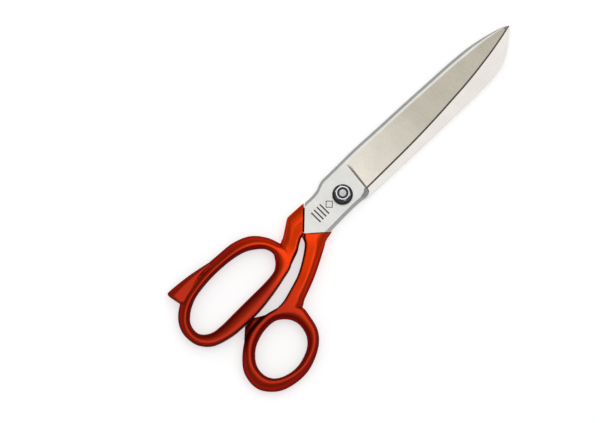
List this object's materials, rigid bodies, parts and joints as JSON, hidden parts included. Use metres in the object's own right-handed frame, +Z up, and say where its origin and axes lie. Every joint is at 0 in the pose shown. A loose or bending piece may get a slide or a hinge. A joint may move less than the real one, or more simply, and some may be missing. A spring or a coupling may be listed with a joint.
{
  "type": "fabric shears",
  "caption": "Bent-handled tailor's shears: long finger bow with a tang, small thumb ring, broad blades that turn on a keyed pivot screw with a lock nut.",
  "frame": {"origin": "on the pivot's axis, at the pivot head's flat underside, which is also the plane of the surface that the shears lie on", "axes": "+Y along the closed blades to their tips, +X towards the thumb ring, +Z up from the surface, along the pivot"},
  "size_m": [0.0891, 0.2599, 0.0189],
  "materials": {
    "ground_steel": "hardened steel, fine ground across the blades, satin on the ricassos",
    "red_lacquer": "red-orange metallic baked lacquer, glossy",
    "bright_steel": "zinc-plated steel, turned",
    "black_steel": "black oxide, edges rubbed bright",
    "black_nylon": "moulded nylon, satin"
  },
  "bodies": {
    "lower_half": {"lower_blade": "ground_steel", "finger_handle": "red_lacquer", "pivot_screw": "bright_steel", "disc_spring": "black_steel"},
    "upper_half": {"upper_blade": "ground_steel", "thumb_handle": "red_lacquer"},
    "tension_nut": {"lock_nut": "black_steel", "nut_insert": "black_nylon"}
  },
  "joints": [
    {"name": "blade_pivot", "type": "hinge", "parent": "lower_half", "child": "upper_half", "pos_m": [0, 0, 0.006], "axis": [0, 0, 1], "range_deg": [0, 95]},
    {"name": "nut_turn", "type": "hinge", "parent": "lower_half", "child": "tension_nut", "pos_m": [0, 0, 0.0115], "axis": [0, 0, 1], "range_deg": [-45, 45]}
  ]
}
